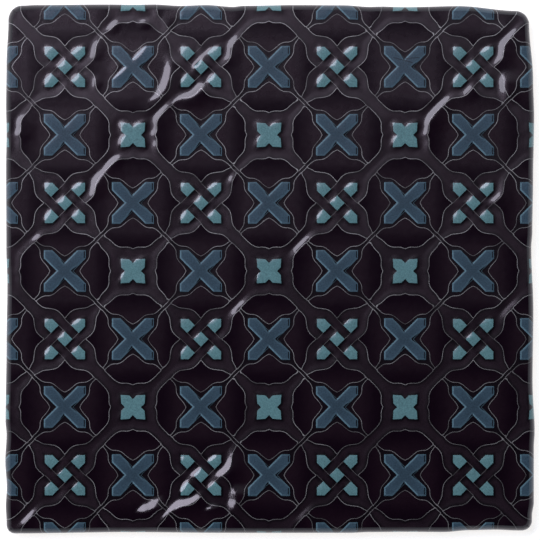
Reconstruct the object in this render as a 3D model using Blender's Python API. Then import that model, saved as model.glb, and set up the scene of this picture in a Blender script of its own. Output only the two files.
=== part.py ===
"""A square hand-finished wall tile of fired clay, lying on its back with its glazed face up.

The tile is one fired piece. Its face swells gently, its rim rolls down to the sides,
its sides wander a little from straight, and its flat back has shallow keying grooves.
The origin is the middle of the back, +Z leaves the glazed face, and +Y is the tile's top side.
"""

import bmesh
import bpy
import numpy as np

# Driving dimensions, in metres
SIDE = 0.200
THICKNESS = 0.0090
FOOT_BEVEL = 0.0006

# The rim rolls down along an arc that starts with a slight crease, already sloping, and ends upright
ROLL_RADIUS = 0.0034
ROLL_START = np.radians(26)

# Radius of each corner of the outline, by the signs of x and y there
CORNER_RADIUS = {(-1, 1): 0.0055, (1, 1): 0.0060, (-1, -1): 0.0032, (1, -1): 0.0040}

# How far each side stands outside its straight line: pairs of place along the side and offset, in mm
LEFT_WANDER = (
    (-96, 0.2), (-90, 0.5), (-83, 0.1), (-73, 0.7), (-63, 0.2), (-58, 0.6), (-28, 0.2),
    (-6, -0.1), (8, 0.3), (38, 0.4), (52, 0.2), (62, 0.4), (78, 0.2), (94, -0.5),
)
RIGHT_WANDER = (
    (-94, -0.2), (-89, 0.5), (-68, 0.5), (-62, 0.8), (-43, 0.0), (-16, 0.3), (8, -0.5),
    (14, -0.1), (34, 0.2), (58, 0.6), (72, 0.2), (94, -1.3),
)
TOP_WANDER = (
    (-94, 0.2), (-90, 0.4), (-62, 0.6), (-52, 0.5), (-44, 0.6), (-34, 0.1), (-24, 0.4), (-14, -0.3),
    (-10, 0.1), (10, 0.4), (28, 0.3), (38, -0.3), (42, -0.2), (52, -0.4), (72, 0.0), (94, -1.8),
)
BOTTOM_WANDER = (
    (-94, 0.7), (-54, 0.2), (-16, 0.5), (30, 0.5), (38, 0.2), (52, 0.1), (66, 0.2), (76, -0.5),
    (86, -0.7), (94, -0.4),
)
WANDER_DEPTH = 0.030

# Gentle swells of the face: x, y, height and radius, in mm
SWELLS = (
    (-52, 62, 0.30, 20),
    (-18, 78, 0.22, 18),
    (58, 58, 0.28, 22),
    (86, 22, 0.25, 16),
    (-2, 10, 0.22, 16),
    (-28, -18, 0.20, 18),
    (84, -22, 0.24, 18),
    (-24, -84, 0.30, 20),
    (10, -92, 0.20, 14),
    (-66, -52, 0.22, 24),
    (44, -50, 0.24, 26),
)
CROWN = 0.0003

# The face is a grid whose rows crowd towards the rim, where it curves most
ROWS_PER_HALF = 24
ROW_CROWDING = 1.7

# Keying grooves in the back, with rounded ends, and a plain land between each two
GROOVE_COUNT = 6
GROOVE_PITCH = 0.028
GROOVE_WIDTH = 0.012
GROOVE_LENGTH = 0.164
GROOVE_DEPTH = 0.0009
GROOVE_END_SEGMENTS = 10

MM = 0.001
HALF = SIDE / 2


def clear_scene():
    for obj in list(bpy.data.objects):
        bpy.data.objects.remove(obj, do_unlink=True)


def new_collection(name):
    collection = bpy.data.collections.new(name)
    bpy.context.scene.collection.children.link(collection)
    return collection


def glaze_material():
    """Dark aubergine gloss glaze."""
    material = bpy.data.materials.new("glaze")
    material.use_nodes = True
    shader = material.node_tree.nodes["Principled BSDF"]
    shader.inputs["Base Color"].default_value = (0.022, 0.015, 0.024, 1.0)
    shader.inputs["Roughness"].default_value = 0.12
    shader.inputs["Metallic"].default_value = 0.0
    material.diffuse_color = (0.022, 0.015, 0.024, 1.0)
    return material


def wander(points, along):
    """Offset of a side at a place along it: its few points, joined by smooth steps."""
    places, offsets = np.array(points, float).T * MM
    index = np.clip(np.searchsorted(places, along) - 1, 0, len(places) - 2)
    share = np.clip((along - places[index]) / (places[index + 1] - places[index]), 0, 1)
    share = share * share * (3 - 2 * share)
    return offsets[index] + share * (offsets[index + 1] - offsets[index])


def corner_radius(x, y):
    """The radius of the corner in whose quarter a point lies."""
    signs = np.array(list(CORNER_RADIUS))
    radii = np.array(list(CORNER_RADIUS.values()))
    nearest = ((signs[:, None, 0] * x > 0) & (signs[:, None, 1] * y > 0)).argmax(0)
    return radii[nearest]


def outline_point(u, v):
    """A point of the unit square, carried to the nested rounded square on which it lies.

    The largest of |u| and |v| picks the nested square. The other one is the place along
    its side, and close to a corner it becomes an angle round the corner's arc.
    """
    ring = np.maximum(np.abs(u), np.abs(v)) * HALF
    radius = np.maximum(corner_radius(u, v) - (HALF - ring), 0)
    along = np.minimum(np.abs(u), np.abs(v)) * HALF
    straight = ring - radius
    turn = np.where(radius > 0, (along - straight) / np.maximum(radius, 1e-9), -1)
    angle = np.clip(turn, 0, 1) * np.pi / 4
    far = np.where(turn > 0, straight + radius * np.cos(angle), ring)
    near = np.where(turn > 0, straight + radius * np.sin(angle), along)
    on_x_side = np.abs(u) >= np.abs(v)
    x = np.sign(u) * np.where(on_x_side, far, near)
    y = np.sign(v) * np.where(on_x_side, near, far)
    return x, y, HALF - ring


def wander_point(x, y):
    """Moves a point with the nearest sides' wander, which fades out towards the middle."""
    fade_left = np.clip(1 - (HALF + x) / WANDER_DEPTH, 0, 1) ** 2
    fade_right = np.clip(1 - (HALF - x) / WANDER_DEPTH, 0, 1) ** 2
    fade_bottom = np.clip(1 - (HALF + y) / WANDER_DEPTH, 0, 1) ** 2
    fade_top = np.clip(1 - (HALF - y) / WANDER_DEPTH, 0, 1) ** 2
    moved_x = x + fade_right * wander(RIGHT_WANDER, y) - fade_left * wander(LEFT_WANDER, y)
    moved_y = y + fade_top * wander(TOP_WANDER, x) - fade_bottom * wander(BOTTOM_WANDER, x)
    return moved_x, moved_y


def face_height(x, y, depth):
    """Height of the face: a slight crown, the swells, and the roll at the rim."""
    height = THICKNESS - CROWN * ((x / HALF) ** 2 + (y / HALF) ** 2)
    for swell_x, swell_y, rise, radius in SWELLS:
        square = ((x - swell_x * MM) ** 2 + (y - swell_y * MM) ** 2) / (radius * MM) ** 2
        height = height + rise * MM * np.exp(-square)
    level = np.sqrt(ROLL_RADIUS**2 - np.clip(ROLL_RADIUS - depth, 0, ROLL_RADIUS) ** 2)
    return height - np.maximum(ROLL_RADIUS * np.cos(ROLL_START) - level, 0)


def make_tile(collection, material):
    """A grid shaped into the face, extruded down to a flat back."""
    mesh = bpy.data.meshes.new("tile")
    bm = bmesh.new()
    bmesh.ops.create_grid(bm, x_segments=2 * ROWS_PER_HALF, y_segments=2 * ROWS_PER_HALF, size=1.0)
    flat = np.array([vert.co[:2] for vert in bm.verts])
    crowded = np.sign(flat) * (1 - (1 - np.abs(flat)) ** ROW_CROWDING)
    x, y, depth = outline_point(crowded[:, 0], crowded[:, 1])
    heights = face_height(x, y, depth)
    x, y = wander_point(x, y)
    for vert, place in zip(bm.verts, zip(x, y, heights)):
        vert.co = place

    walls = bmesh.ops.extrude_face_region(bm, geom=list(bm.faces))
    back = [item for item in walls["geom"] if isinstance(item, bmesh.types.BMFace)]
    for vert in {vert for item in back for vert in item.verts}:
        vert.co.z = 0
    bmesh.ops.dissolve_faces(bm, faces=back)
    bmesh.ops.recalc_face_normals(bm, faces=list(bm.faces))
    foot = [edge for edge in bm.edges if all(abs(vert.co.z) < 1e-7 for vert in edge.verts)]
    bmesh.ops.bevel(bm, geom=foot, offset=FOOT_BEVEL, segments=2, affect="EDGES", profile=0.5)
    bm.to_mesh(mesh)
    bm.free()
    mesh.shade_smooth()
    mesh.set_sharp_from_angle(angle=np.radians(50))
    mesh.materials.append(material)
    tile = bpy.data.objects.new("tile", mesh)
    collection.objects.link(tile)
    return tile


def make_groove_cutter(name, y, collection):
    """A round-ended bar that stands half in the back at one groove's place."""
    mesh = bpy.data.meshes.new(name)
    bm = bmesh.new()
    end_places = (GROOVE_LENGTH - GROOVE_WIDTH) / 2
    angles = np.linspace(-np.pi / 2, np.pi / 2, GROOVE_END_SEGMENTS + 1)
    right = [(end_places + GROOVE_WIDTH / 2 * np.cos(a), GROOVE_WIDTH / 2 * np.sin(a)) for a in angles]
    outline = right + [(-px, -py) for px, py in right]
    floor = bm.faces.new([bm.verts.new((px, py, -GROOVE_DEPTH)) for px, py in outline])
    grown = bmesh.ops.extrude_face_region(bm, geom=[floor])
    top = [item for item in grown["geom"] if isinstance(item, bmesh.types.BMVert)]
    bmesh.ops.translate(bm, verts=top, vec=(0, 0, 2 * GROOVE_DEPTH))
    bmesh.ops.recalc_face_normals(bm, faces=list(bm.faces))
    bm.to_mesh(mesh)
    bm.free()
    cutter = bpy.data.objects.new(name, mesh)
    cutter.location = (0, y, 0)
    cutter.hide_render = True
    cutter.display_type = "WIRE"
    collection.objects.link(cutter)
    return cutter


def cut_grooves(tile, collection):
    first = -GROOVE_PITCH * (GROOVE_COUNT - 1) / 2
    for number in range(GROOVE_COUNT):
        cutter = make_groove_cutter(f"groove_{number + 1}", first + number * GROOVE_PITCH, collection)
        cut = tile.modifiers.new(cutter.name, "BOOLEAN")
        cut.operation = "DIFFERENCE"
        cut.solver = "EXACT"
        cut.object = cutter


def main():
    clear_scene()
    parts = new_collection("ceramic_tile")
    cutters = new_collection("cutters")
    tile = make_tile(parts, glaze_material())
    cut_grooves(tile, cutters)


main()
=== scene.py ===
# %% [markdown]
# A glazed wall tile with an interlaced pattern.
# The real tile is one pressed slab of clay with glaze fired onto its face. Petals, crosses and
# buds stand a few tenths of a millimetre proud of the straps that weave between them, and a
# gloss glaze lies over everything. Its look is mostly how that low relief catches one soft
# light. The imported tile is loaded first. It gives the size and place that the detailed one has to keep.

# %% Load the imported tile
from types import SimpleNamespace

import bpy
import numpy as np
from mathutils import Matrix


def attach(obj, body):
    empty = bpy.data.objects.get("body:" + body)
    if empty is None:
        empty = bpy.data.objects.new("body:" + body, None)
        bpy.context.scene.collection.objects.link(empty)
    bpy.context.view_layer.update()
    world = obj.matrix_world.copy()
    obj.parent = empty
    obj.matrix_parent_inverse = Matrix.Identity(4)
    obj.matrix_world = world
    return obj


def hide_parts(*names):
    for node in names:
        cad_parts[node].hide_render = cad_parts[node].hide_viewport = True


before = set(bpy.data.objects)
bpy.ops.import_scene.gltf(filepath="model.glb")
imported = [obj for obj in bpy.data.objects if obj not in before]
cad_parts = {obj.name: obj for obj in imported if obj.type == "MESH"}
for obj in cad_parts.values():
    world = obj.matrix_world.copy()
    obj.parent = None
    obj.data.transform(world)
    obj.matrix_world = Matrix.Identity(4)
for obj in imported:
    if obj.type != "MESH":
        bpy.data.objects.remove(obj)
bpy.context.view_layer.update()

# %% [markdown]
# All lengths are in millimetres until the mesh is written, because the pattern is easier to
# read that way. The pattern's unit is the pitch: the distance from one motif to the next.
# Motifs sit on a square lattice. A small cross is in the middle, a knot is one pitch away on
# both axes, and a large X is one pitch away on one axis.

# %% Driving dimensions
MM = 0.001
SIDE = 200.0
HALF = SIDE / 2
THICKNESS = 9.0
FOOT_BEVEL = 0.6
PITCH = 25.86
PATTERN_X, PATTERN_Y = -0.30, -0.85

# %% [markdown]
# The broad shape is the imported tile's own: a square with four slightly different corners,
# sides that wander as the clay dried, a face with a few soft swells, and a rim that rolls
# down. The same formulas give it here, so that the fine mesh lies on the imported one.

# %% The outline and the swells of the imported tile
CORNER_RADIUS = {(-1, 1): 5.5, (1, 1): 6.0, (-1, -1): 3.2, (1, -1): 4.0}
LEFT_WANDER = (
    (-96, 0.2), (-90, 0.5), (-83, 0.1), (-73, 0.7), (-63, 0.2), (-58, 0.6), (-28, 0.2),
    (-6, -0.1), (8, 0.3), (38, 0.4), (52, 0.2), (62, 0.4), (78, 0.2), (94, -0.5),
)
RIGHT_WANDER = (
    (-94, -0.2), (-89, 0.5), (-68, 0.5), (-62, 0.8), (-43, 0.0), (-16, 0.3), (8, -0.5),
    (14, -0.1), (34, 0.2), (58, 0.6), (72, 0.2), (94, -1.3),
)
TOP_WANDER = (
    (-94, 0.2), (-90, 0.4), (-62, 0.6), (-52, 0.5), (-44, 0.6), (-34, 0.1), (-24, 0.4), (-14, -0.3),
    (-10, 0.1), (10, 0.4), (28, 0.3), (38, -0.3), (42, -0.2), (52, -0.4), (72, 0.0), (94, -1.8),
)
BOTTOM_WANDER = (
    (-94, 0.7), (-54, 0.2), (-16, 0.5), (30, 0.5), (38, 0.2), (52, 0.1), (66, 0.2), (76, -0.5),
    (86, -0.7), (94, -0.4),
)
WANDER_DEPTH = 30.0
SWELLS = (
    (-52, 62, 0.30, 20), (-18, 78, 0.22, 18), (58, 58, 0.28, 22), (86, 22, 0.25, 16),
    (-2, 10, 0.22, 16), (-28, -18, 0.20, 18), (84, -22, 0.24, 18), (-24, -84, 0.30, 20),
    (10, -92, 0.20, 14), (-66, -52, 0.22, 24), (44, -50, 0.24, 26),
)
CROWN = 0.3


def smooth_step(low, high, value):
    """0 below low, 1 above high, and an S between them."""
    share = np.clip((value - low) / (high - low), 0, 1)
    return share * share * (3 - 2 * share)


def wander(points, along):
    """Offset of a side at a place along it: its few points, joined by smooth steps."""
    places, offsets = np.array(points, float).T
    index = np.clip(np.searchsorted(places, along) - 1, 0, len(places) - 2)
    share = smooth_step(places[index], places[index + 1], along)
    return offsets[index] + share * (offsets[index + 1] - offsets[index])


def outline_point(x, y):
    """Carries a point of the square to the nested rounded square on which it lies.

    The larger of |x| and |y| picks the nested square. The other is the place along its side,
    and close to a corner it becomes an angle round the corner's arc.
    """
    ring = np.maximum(np.abs(x), np.abs(y))
    signs = np.array(list(CORNER_RADIUS))
    quarter = ((signs[:, None, 0] * x > 0) & (signs[:, None, 1] * y > 0)).argmax(0)
    radius = np.maximum(np.array(list(CORNER_RADIUS.values()))[quarter] - (HALF - ring), 0)
    along = np.minimum(np.abs(x), np.abs(y))
    straight = ring - radius
    turn = np.where(radius > 0, (along - straight) / np.maximum(radius, 1e-6), -1)
    angle = np.clip(turn, 0, 1) * np.pi / 4
    far = np.where(turn > 0, straight + radius * np.cos(angle), ring)
    near = np.where(turn > 0, straight + radius * np.sin(angle), along)
    on_x_side = np.abs(x) >= np.abs(y)
    return (
        np.sign(x) * np.where(on_x_side, far, near),
        np.sign(y) * np.where(on_x_side, near, far),
        HALF - ring,
    )


def wander_point(x, y):
    """Moves a point with the nearest sides' wander, which fades out towards the middle."""
    fade = {name: np.clip(1 - gap / WANDER_DEPTH, 0, 1) ** 2 for name, gap in
            {"left": HALF + x, "right": HALF - x, "bottom": HALF + y, "top": HALF - y}.items()}
    moved_x = x + fade["right"] * wander(RIGHT_WANDER, y) - fade["left"] * wander(LEFT_WANDER, y)
    moved_y = y + fade["top"] * wander(TOP_WANDER, x) - fade["bottom"] * wander(BOTTOM_WANDER, x)
    return moved_x, moved_y


def broad_height(x, y):
    """Height of the face without its relief: a slight crown and the sum of round swells."""
    height = THICKNESS - CROWN * ((x / HALF) ** 2 + (y / HALF) ** 2)
    for swell_x, swell_y, rise, radius in SWELLS:
        height = height + rise * np.exp(-((x - swell_x) ** 2 + (y - swell_y) ** 2) / radius**2)
    return height


# %% [markdown]
# Each motif is drawn once and folded into place by the mirror lines of the pattern. What the
# mesh needs from a motif is its signed distance: how far a point is from the outline,
# negative inside. One distance serves for the relief's walls, for the edge between two
# glazes and for the fine line that follows the outline.
#
# The crosses, buds and the knot's middle have straight edges only, so each is a few limits
# on two folded coordinates: the larger and the smaller distance from the motif's middle.
# The formulas use only array functions that node wires understand too (see the glaze), so
# the same lines shape the mesh and draw the colours.

# %% Straight-edged motifs
SLANT = float(np.sqrt(0.5))
# Limits a * larger + b * smaller <= c
SMALL_CROSS = ((1, -0.07, 4.34), (SLANT, -SLANT, 3.03 * SLANT))
LARGE_X = ((1, 0, 7.85), (SLANT, -SLANT, 3.04 * SLANT))
BUD = ((1, 0, 7.64), (SLANT, -SLANT, 2.90 * SLANT), (-SLANT, -SLANT, -7.60 * SLANT))
KNOT_MIDDLE = ((SLANT, SLANT, 2.86 * SLANT),)
ROUNDING = 1.5


def fold(place):
    """Distance to the nearest even lattice line, 0 to one pitch."""
    return np.absolute(place - 2 * PITCH * np.rint(place / (2 * PITCH)))


def within(limits, first, second):
    """Signed distance to a shape given by limits on the larger and smaller coordinate."""
    larger, smaller = np.maximum(first, second), np.minimum(first, second)
    distance = None
    for a, b, c in limits:
        here = larger * a + smaller * b - c
        distance = here if distance is None else np.maximum(distance, here)
    return distance


def rounded(limits, first, second):
    """Signed distance as in `within`, but with round corners and a flat middle.

    Each limit counts by how far a point is past -ROUNDING, taken both ways round. The root
    of the summed squares, less ROUNDING, is the distance.
    """
    total = np.zeros(first.shape)
    for a, b, c in limits:
        for p, q in ((first, second), (second, first))[: 1 if a == b else 2]:
            total = total + np.maximum(p * a + q * b - c + ROUNDING, 0) ** 2
    return np.sqrt(total) - ROUNDING


def from_x(folded_x, folded_y):
    """Folded coordinates seen from the nearest large X: outwards from it, and sideways."""
    return PITCH - np.maximum(folded_x, folded_y), np.minimum(folded_x, folded_y)


def large_x_distance(x, y):
    """Signed distance to the nearest large X."""
    return within(LARGE_X, *from_x(fold(x), fold(y)))


def cross_distance(x, y, measure=within):
    """Signed distance to the nearest small cross."""
    return measure(SMALL_CROSS, fold(x), fold(y))


def bud_distance(x, y, measure=within):
    """Signed distance to the nearest bud or middle of a knot."""
    knot_x, knot_y = PITCH - fold(x), PITCH - fold(y)
    return np.minimum(measure(BUD, knot_x, knot_y), measure(KNOT_MIDDLE, knot_x, knot_y))


def teal_distance(x, y):
    """Signed distance to the nearest small cross, bud or knot middle."""
    return np.minimum(cross_distance(x, y), bud_distance(x, y))


# %% [markdown]
# The petals are curved. Half a petal's outline is a path of points from its inner corner,
# round its tip, to its outer point, with the corners of the path cut to a curve. There are
# four kinds, because the outer side follows either a small cross or a knot, and the tip
# ends either at a strap that is on top or at a channel that is.

# %% Petal outlines
# Points are in (outwards, sideways) from the middle of the petal's X.
INNER_SIDE = ((5.68, 0.0), (6.48, 1.65), (9.5, 4.93), (9.33, 8.3))
SMALL_CROSS_SIDE = ((16.85, 5.87), (16.7, 1.85), (17.06, 0.83), (17.44, 0.0))
KNOT_SIDE = ((13.95, 8.43), (14.2, 5.77), (14.63, 3.35), (15.9, 1.65), (18.0, 0.0))
PETAL_TIPS = {
    ("small cross", "strap over"): ((11.82, 10.88),),
    ("small cross", "channel over"): ((12.53, 11.4), (13.63, 9.09)),
    ("knot", "strap over"): ((11.5, 11.13),),
    ("knot", "channel over"): ((12.23, 11.72), (13.14, 9.62)),
}


def cut_corners(points, times=2):
    """Rounds a path by cutting each inner corner at a quarter of its two legs."""
    path = np.array(points, float)
    for _ in range(times):
        start, end = path[:-1], path[1:]
        quarters = np.stack([0.75 * start + 0.25 * end, 0.25 * start + 0.75 * end], 1).reshape(-1, 2)
        path = np.vstack([path[:1], quarters[1:-1], path[-1:]])
    return path


def petal_half(facing, tip):
    """The half outline of a petal, from its inner corner round its tip to its outer point."""
    outer = {"small cross": SMALL_CROSS_SIDE, "knot": KNOT_SIDE}[facing]
    first, *rest = PETAL_TIPS[facing, tip]
    return np.vstack([cut_corners((*INNER_SIDE, first)), cut_corners((first, *rest, *outer))[1:]])


def path_distance(path, x, y):
    """Signed distance to an open path whose ends lie on the x axis, negative below it.

    Each leg gives the distance to its nearest point, and the smallest one counts. The sign
    comes from how many legs a ray along x crosses.
    """
    distance, inside = np.full(x.shape, np.inf), np.zeros(x.shape, bool)
    for (ax, ay), (bx, by) in zip(path[:-1], path[1:]):
        leg_x, leg_y = bx - ax, by - ay
        share = np.clip(((x - ax) * leg_x + (y - ay) * leg_y) / (leg_x**2 + leg_y**2), 0, 1)
        distance = np.minimum(distance, np.hypot(x - ax - share * leg_x, y - ay - share * leg_y))
        if ay != by:
            inside ^= ((ay > y) != (by > y)) & (x < leg_x * (y - ay) / leg_y + ax)
    return np.where(inside, -distance, distance)


# %% [markdown]
# The lattice decides which kind of petal is near. Every X owns the diamond round it, up to
# the middle lines of the straps. Straps and the narrow channels between petals cross
# half-way between a small cross and a knot. All four crossings round one small cross have
# the strap on top, and round the next small cross the channel is on top.

# %% The lattice and the petals
def nearest_x(x, y):
    """Lattice place (column, row) of the nearest large X, and the point measured from it.

    A rounded place whose column and row add up to an even number holds a cross or a knot, so
    the X is its neighbour on the axis along which the point lies further out.
    """
    column, row = np.rint(x / PITCH), np.rint(y / PITCH)
    rest_x, rest_y = x / PITCH - column, y / PITCH - row
    not_x = (column + row) % 2 == 0
    along_x = np.abs(rest_x) > np.abs(rest_y)
    column = column + np.where(not_x & along_x, np.where(rest_x > 0, 1, -1), 0)
    row = row + np.where(not_x & ~along_x, np.where(rest_y > 0, 1, -1), 0)
    return column, row, x - column * PITCH, y - row * PITCH


def channel_is_over(x, y):
    """0 where the strap is on top at the crossings of the nearest small cross, or else 1."""
    place = np.rint(x / (2 * PITCH)) + np.rint(y / (2 * PITCH))
    return np.absolute(place - 2 * np.rint(place / 2))


def petal_distances(x, y):
    """Signed distances to the nearest petal that points along x, and to the one along y."""
    column, row, local_x, local_y = nearest_x(x, y)
    cross_on_x = column % 2 != 0
    cross_x = (column + np.where(cross_on_x, np.sign(local_x), 0)) * PITCH
    cross_y = (row + np.where(cross_on_x, 0, np.sign(local_y))) * PITCH
    over = channel_is_over(cross_x, cross_y) < 0.5
    found = []
    for out, side, faces_cross in (
        (np.abs(local_x), np.abs(local_y), cross_on_x),
        (np.abs(local_y), np.abs(local_x), ~cross_on_x),
    ):
        distance = np.zeros(x.shape)
        for facing, tip in PETAL_TIPS:
            here = (faces_cross == (facing == "small cross")) & (over == (tip == "strap over"))
            distance[here] = path_distance(petal_half(facing, tip), out[here], side[here])
        found.append(distance)
    return found


# %% [markdown]
# In a knot four bands cross round the middle, two each way, and each passes over one neighbour and under
# the next. The band that dives has painted shade, darkest right beside the one above it.

# %% Where bands dive in the knots
BAND_OFFSET, BAND_HALF = 5.23, 1.68
UNDER_PLACE, UNDER_LENGTH, UNDER_WIDTH = 2.7, 1.15, 1.45


def knot_weave(x, y):
    """Distances from the middle lines of the upper and the lower band at a knot's crossing.

    Folded on the knot's two axes, every crossing is at the same place. Which of the two
    diagonals is on top changes sign from one eighth of the knot to the next, and from one
    knot to its neighbour.
    """
    column, row = np.rint((x - PITCH) / (2 * PITCH)), np.rint((y - PITCH) / (2 * PITCH))
    knot_x, knot_y = x - PITCH - 2 * PITCH * column, y - PITCH - 2 * PITCH * row
    size_x, size_y = np.absolute(knot_x), np.absolute(knot_y)
    far, near = np.maximum(size_x, size_y) - BAND_OFFSET, np.minimum(size_x, size_y)
    place = column + row
    parity = np.absolute(place - 2 * np.rint(place / 2))
    turn = np.sign(knot_x * knot_y * (size_x - size_y)) * (2 * parity - 1)
    return np.absolute(far - turn * near) * SLANT, np.absolute(far + turn * near) * SLANT


def under_field(x, y):
    """1 where a knot's band dives under another, 0 away from there."""
    upper, lower = knot_weave(x, y)
    return np.exp(-(((upper - UNDER_PLACE) / UNDER_LENGTH) ** 2) - (lower / UNDER_WIDTH) ** 2)


# %% [markdown]
# Relief. The petals are low plateaus. Their wall starts at their line and runs out into the
# strap, straight for most of the way and easing at its foot. The crosses and buds are domes
# with round corners, and their walls lie on both sides of their edge, because the glaze ran
# over it.
#
# Pooled glaze drowns most of the relief. It stays crisp in a few places, and those are where
# the light is caught, so each height is multiplied by a crispness that a short list of places
# raises. Where a streak of light is longer or wider than any wall, the glaze itself ran in a
# ripple: a step that falls towards the lamp along a short path.

# %% Relief of the pattern
PETAL_RISE, PETAL_WALL = 0.33, 2.5
WALL_STRAIGHT = 0.85
X_RISE, X_WALL = 0.24, (-0.90, 0.70)
BUD_RISE, BUD_WALL = 0.40, (-1.50, 1.15)
CROSS_RISE, CROSS_WALL = 0.30, (-0.90, 1.90)
UNDER_DIP = 0.06
BASE_CRISPNESS, X_CRISPNESS = 0.32, 0.45
BUD_CRISPNESS = (0.745, 0.03, 0.155)
CROSS_CRISPNESS = (0.72, -0.05, 0.26)
ADDED_ON_TEAL, MOST_ADDED = 0.55, 1.05
INNER_SHARE, OUTER_REACH = 0.5, (9.5, 12.5)
EASE = 0.2


def even_step(low, high, value):
    """0 below low, 1 above high, and between them an even slope with short eased ends."""
    share = np.clip((value - low) / (high - low), 0, 1)
    tail = 1 / (2 * EASE * (1 - EASE))
    start, end = tail * share**2, 1 - tail * (1 - share) ** 2
    middle = (share - EASE / 2) / (1 - EASE)
    return np.where(share < EASE, start, np.where(share > 1 - EASE, end, middle))


def wall(distance, width):
    """1 above the wall and 0 past its foot: a straight slope, then a parabola."""
    share = np.clip(distance / width, 0, 1)
    slope = 2 / (1 + WALL_STRAIGHT)
    foot = slope * (1 - share) ** 2 / (2 * (1 - WALL_STRAIGHT))
    return np.where(share < WALL_STRAIGHT, 1 - slope * share, foot)


def relief_height(x, y, petal, outline, cross, bud, under, reach):
    """Height over the face's own: a plateau or dome for each motif, from its distance.

    Where the relief is crisper the strap sinks as much as the petal rises. The petals' inner
    walls, close to their X, are lower than the outer ones. Buds and crosses get lower towards
    the bottom, where the glaze pooled: their crispness is a constant plus shares of x and y.
    """
    added = added_crispness(x, y)
    outer = INNER_SHARE + (1 - INNER_SHARE) * smooth_step(*OUTER_REACH, reach)
    height = PETAL_RISE * outer * (wall(petal, PETAL_WALL) - 0.5) * (BASE_CRISPNESS + added)
    height = height + X_RISE * (1 - even_step(*X_WALL, outline)) * (X_CRISPNESS + added)
    added = added * ADDED_ON_TEAL
    shares = [np.ones(x.shape), x / HALF, y / HALF]
    bud_crispness, cross_crispness = np.dot(BUD_CRISPNESS, shares), np.dot(CROSS_CRISPNESS, shares)
    height = height + BUD_RISE * (1 - even_step(*BUD_WALL, bud)) * (bud_crispness + added)
    height = height + CROSS_RISE * (1 - even_step(*CROSS_WALL, cross)) * (cross_crispness + added)
    return height - UNDER_DIP * under + ripple_height(x, y)


# Places in the photograph's pixels where the relief is crisp: x, y, radius and added crispness
PHOTO_MIDDLE_X, PHOTO_MIDDLE_Y, PIXEL = 269.3, 268.3, 0.380
CRISP_PLACES = (
    (206, 80, 13, 0.85), (188, 94, 14, 0.90), (160, 112, 16, 0.90), (153, 140, 15, 0.90),
    (230, 47, 15, 0.75), (96, 50, 9, 0.65), (95, 83, 6, 0.80), (112, 160, 9, 0.85), (97, 184, 14, 0.85),
    (20, 128, 13, 0.75), (112, 25, 7, 0.70), (155, 9, 7, 0.70), (166, 22, 7, 0.70), (503, 42, 20, 0.95),
    (436, 106, 19, 0.95), (423, 136, 15, 0.95), (468, 90, 10, 0.95), (497, 197, 18, 0.95),
    (302, 245, 16, 0.95), (238, 308, 14, 0.90), (508, 309, 14, 0.95), (228, 465, 18, 0.95),
    (190, 500, 18, 0.80), (186, 480, 14, 0.85), (165, 515, 10, 0.85), (304, 514, 11, 0.90),
    (28, 517, 13, 0.90), (36, 238, 6, 0.70), (229, 178, 6, 0.75), (119, 71, 9, 0.90),
    (179, 115, 6, 0.50), (122, 130, 12, 0.95), (394, 130, 12, 0.90), (144, 22, 6, 0.80),
    (178, 14, 7, 0.80), (166, 28, 6, 0.80), (251, 489, 7, 0.60), (207, 462, 9, 0.85),
    (181, 462, 8, 0.90), (472, 336, 13, 0.40), (64, 488, 12, 0.35), (325, 487, 7, 0.30),
    (212, 338, 13, 0.25), (124, 261, 6, 0.90), (124, 278, 6, 0.90), (260, 261, 6, 0.90),
    (260, 278, 6, 0.90),
)
# Ripples of the glaze that catch the lamp, which is on the left of each path: rise in
# millimetres, width in pixels, and the path in the photograph's pixels
RIPPLES = (
    (0.46, 8, (145, 103), (156, 95), (162, 86), (166, 75), (167, 65), (162, 51)),
    (0.66, 10, (132, 512), (148, 506), (164, 494)),
    (0.60, 10, (158, 522), (168, 509), (180, 502), (204, 496)),
    (0.42, 8, (200, 494), (213, 479), (226, 470), (233, 450)),
    (0.88, 10, (226, 518), (232, 500), (232, 480)),
    (0.44, 5, (201, 511), (211, 506), (221, 505)),
    (0.36, 6, (180, 486), (190, 477), (203, 464)),
    (0.30, 5, (188, 75), (194, 66), (202, 56), (211, 45)),
    (0.24, 5, (130, 62), (140, 51), (148, 44)),
    (0.72, 9, (503, 108), (502, 88), (501, 68)),
    (0.34, 6, (166, 107), (176, 99), (190, 95), (200, 89), (213, 72)),
    (0.24, 5, (90, 200), (94, 185), (100, 175), (112, 160), (124, 152)),
    (0.30, 6, (424, 140), (426, 122), (436, 108), (452, 93)),
    (0.30, 6, (490, 68), (500, 56), (501, 44), (518, 25)),
)
RIPPLE_TAIL = 5.0
RIPPLE_END, NARROWEST = 0.4, 0.1


def from_photo(place_x, place_y):
    """A place in the photograph's pixels, as millimetres on the tile."""
    return (place_x - PHOTO_MIDDLE_X) * PIXEL, (PHOTO_MIDDLE_Y - place_y) * PIXEL


def added_crispness(x, y):
    """A flat-topped bell at each listed place, summed."""
    total = np.zeros(x.shape)
    for place_x, place_y, radius, added in CRISP_PLACES:
        middle_x, middle_y = from_photo(place_x, place_y)
        square = ((x - middle_x) ** 2 + (y - middle_y) ** 2) / (radius * PIXEL) ** 2
        total = total + added * np.exp(-(square**2))
    return np.minimum(total, MOST_ADDED)


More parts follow.
